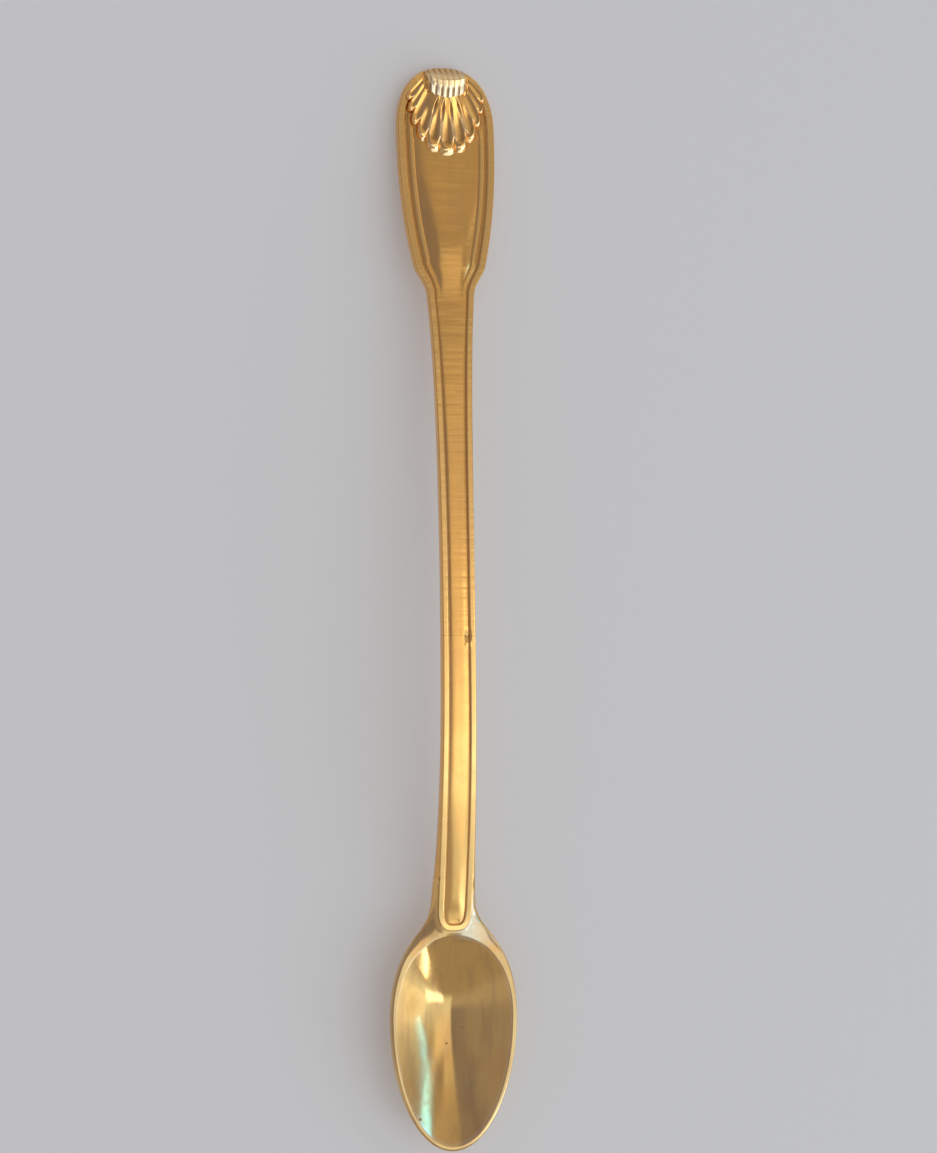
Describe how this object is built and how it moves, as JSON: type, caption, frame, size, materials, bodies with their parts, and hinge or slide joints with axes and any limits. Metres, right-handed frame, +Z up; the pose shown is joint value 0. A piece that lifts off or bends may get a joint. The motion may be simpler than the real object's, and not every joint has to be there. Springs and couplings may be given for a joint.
{
  "type": "medicine spoon",
  "caption": "Long-handled gilt spoon with an egg-shaped bowl, a threaded stem and a fiddle-shaped end carrying a scallop shell.",
  "frame": {"origin": "on the table, under the middle of the spoon's outline", "axes": "+Y along the spoon from the tip of the bowl to the shell end, +Z up from the table, +X across"},
  "size_m": [0.024, 0.2, 0.0128],
  "materials": {
    "gilding": "polished gilding, worn and slightly tarnished in the recesses"
  },
  "bodies": {
    "root": {"bowl": "gilding", "heel_drop": "gilding", "lower_stem": "gilding", "handle": "gilding", "shell": "gilding"}
  },
  "joints": []
}
